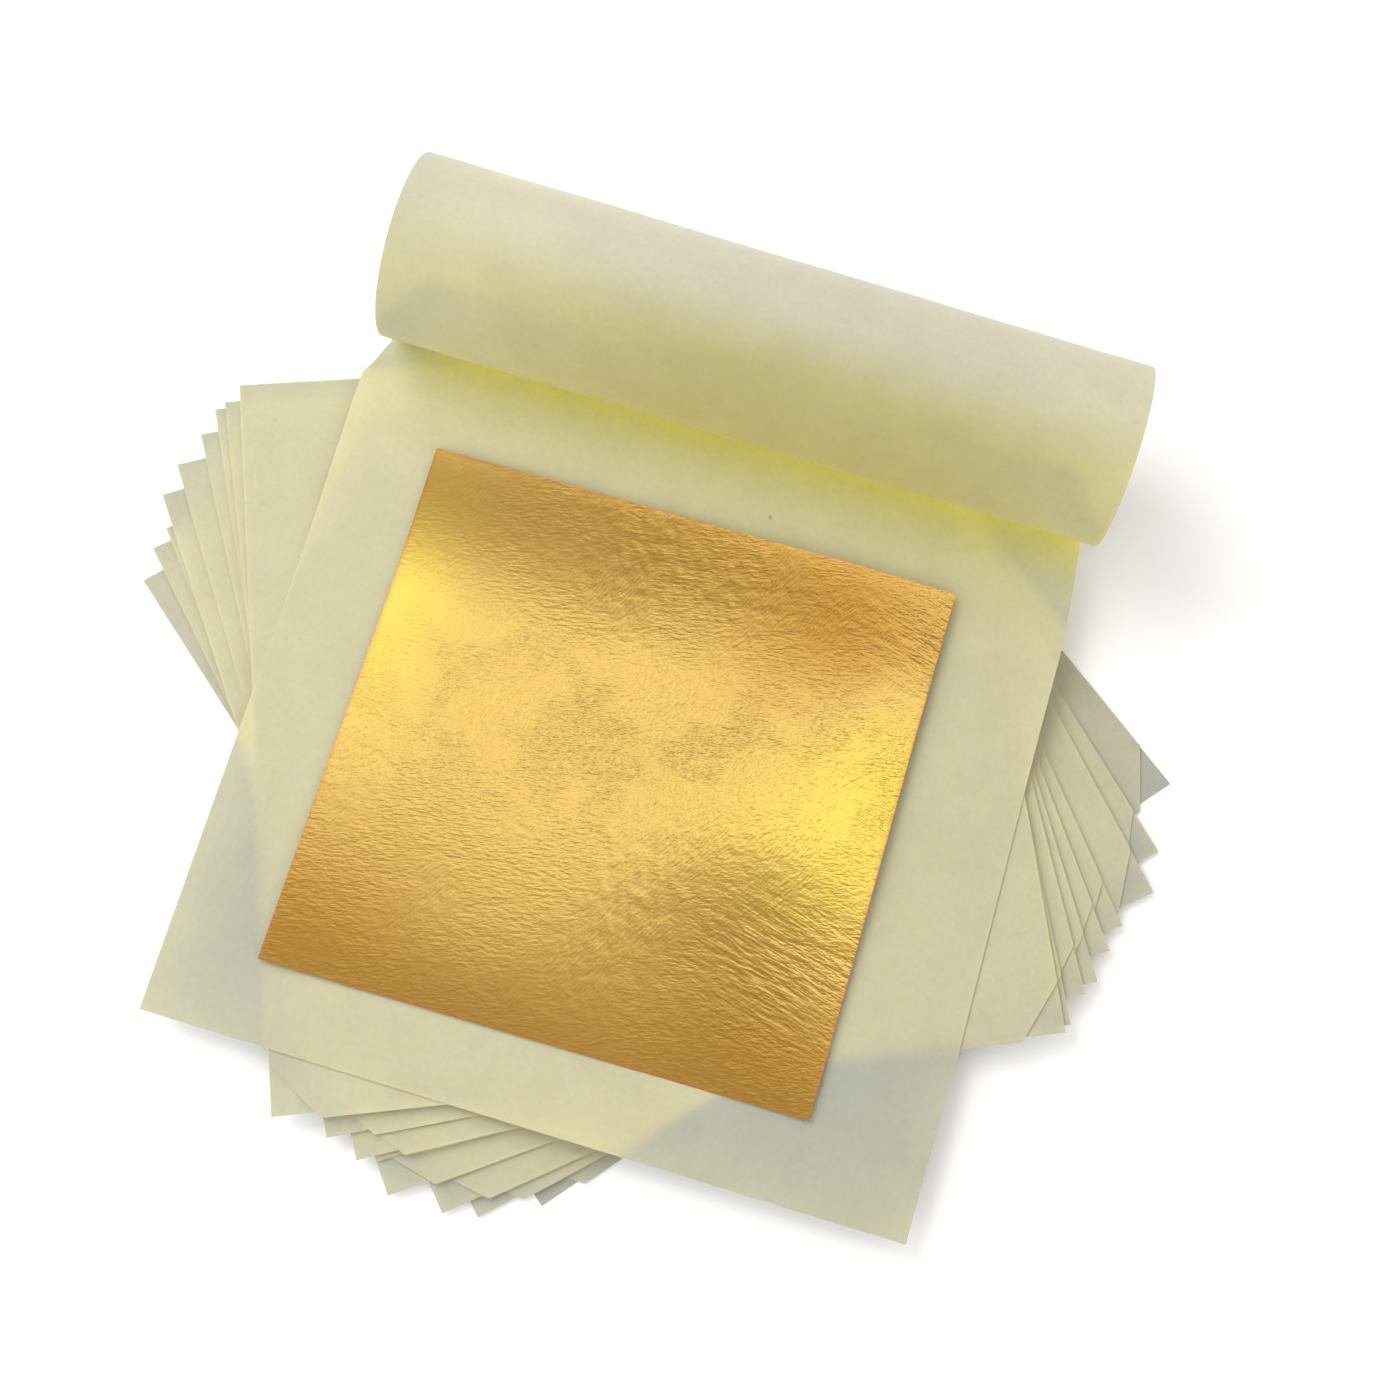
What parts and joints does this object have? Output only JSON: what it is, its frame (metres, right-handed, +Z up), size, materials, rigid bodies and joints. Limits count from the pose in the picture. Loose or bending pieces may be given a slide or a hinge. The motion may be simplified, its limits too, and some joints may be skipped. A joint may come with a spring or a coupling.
{
  "type": "gold leaf booklet",
  "caption": "Fanned pile of folded tissue sheets, each holding a square of beaten gold leaf; the top tissue is curled open to show its leaf.",
  "frame": {"origin": "on the surface that the pile lies on, under the middle of the top tissue", "axes": "+Z up, +Y from the top tissue's free edge to its fold, +X along the fold to the right"},
  "size_m": [0.1575, 0.1571, 0.0301],
  "materials": {
    "tissue": "thin cream tissue, soft and slightly translucent",
    "metal_leaf": "beaten gold-coloured leaf, finely wrinkled"
  },
  "bodies": {
    "packet_10": {"tissue_10": "tissue", "gold_leaf_10": "metal_leaf"},
    "top_packet": {"top_tissue_base": "tissue"},
    "curled_flap": {"top_tissue_flap": "tissue"},
    "bare_leaf": {"top_gold_leaf": "metal_leaf"},
    "packet_02": {"tissue_02": "tissue", "gold_leaf_02": "metal_leaf"},
    "packet_03": {"tissue_03": "tissue", "gold_leaf_03": "metal_leaf"},
    "packet_04": {"tissue_04": "tissue", "gold_leaf_04": "metal_leaf"},
    "packet_05": {"tissue_05": "tissue", "gold_leaf_05": "metal_leaf"},
    "packet_06": {"tissue_06": "tissue", "gold_leaf_06": "metal_leaf"},
    "packet_07": {"tissue_07": "tissue", "gold_leaf_07": "metal_leaf"},
    "packet_08": {"tissue_08": "tissue", "gold_leaf_08": "metal_leaf"},
    "packet_09": {"tissue_09": "tissue", "gold_leaf_09": "metal_leaf"}
  },
  "joints": [
    {"name": "top_packet_turn", "type": "hinge", "parent": "packet_10", "child": "top_packet", "pos_m": [-0.01414, 0.0064, 0.00378], "axis": [0, 0, 1], "range_deg": [0, 50.6]},
    {"name": "packet_02_turn", "type": "hinge", "parent": "packet_10", "child": "packet_02", "pos_m": [-0.00969, 0.01537, 0.00336], "axis": [0, 0, 1], "range_deg": [0, 28]},
    {"name": "packet_03_turn", "type": "hinge", "parent": "packet_10", "child": "packet_03", "pos_m": [-0.01236, 0.01594, 0.00294], "axis": [0, 0, 1], "range_deg": [0, 26.2]},
    {"name": "packet_04_turn", "type": "hinge", "parent": "packet_10", "child": "packet_04", "pos_m": [-0.00934, 0.0174, 0.00252], "axis": [0, 0, 1], "range_deg": [0, 23.7]},
    {"name": "packet_05_turn", "type": "hinge", "parent": "packet_10", "child": "packet_05", "pos_m": [-0.01284, 0.01674, 0.0021], "axis": [0, 0, 1], "range_deg": [0, 21.1]},
    {"name": "packet_06_turn", "type": "hinge", "parent": "packet_10", "child": "packet_06", "pos_m": [-0.01693, 0.01939, 0.00168], "axis": [0, 0, 1], "range_deg": [0, 17.1]},
    {"name": "packet_07_turn", "type": "hinge", "parent": "packet_10", "child": "packet_07", "pos_m": [-0.02264, 0.01998, 0.00126], "axis": [0, 0, 1], "range_deg": [0, 13.6]},
    {"name": "packet_08_turn", "type": "hinge", "parent": "packet_10", "child": "packet_08", "pos_m": [-0.02582, 0.00712, 0.00084], "axis": [0, 0, 1], "range_deg": [0, 9.5]},
    {"name": "packet_09_turn", "type": "hinge", "parent": "packet_10", "child": "packet_09", "pos_m": [-0.0281, 0.01182, 0.00042], "axis": [0, 0, 1], "range_deg": [0, 5.9]},
    {"name": "flap_tip", "type": "hinge", "parent": "top_packet", "child": "curled_flap", "pos_m": [0, 0.05465, 0.00386], "axis": [1, 0, 0], "range_deg": [0, 30]},
    {"name": "leaf_lift", "type": "slide", "parent": "top_packet", "child": "bare_leaf", "axis": [0, 0, 1], "range_m": [0, 0.04]}
  ],
  "couplings": [
    {"joint": "packet_02_turn", "follows": "top_packet_turn", "ratio": 0.55336},
    {"joint": "packet_03_turn", "follows": "top_packet_turn", "ratio": 0.51779},
    {"joint": "packet_04_turn", "follows": "top_packet_turn", "ratio": 0.46838},
    {"joint": "packet_05_turn", "follows": "top_packet_turn", "ratio": 0.417},
    {"joint": "packet_06_turn", "follows": "top_packet_turn", "ratio": 0.33794},
    {"joint": "packet_07_turn", "follows": "top_packet_turn", "ratio": 0.26877},
    {"joint": "packet_08_turn", "follows": "top_packet_turn", "ratio": 0.18775},
    {"joint": "packet_09_turn", "follows": "top_packet_turn", "ratio": 0.1166}
  ]
}
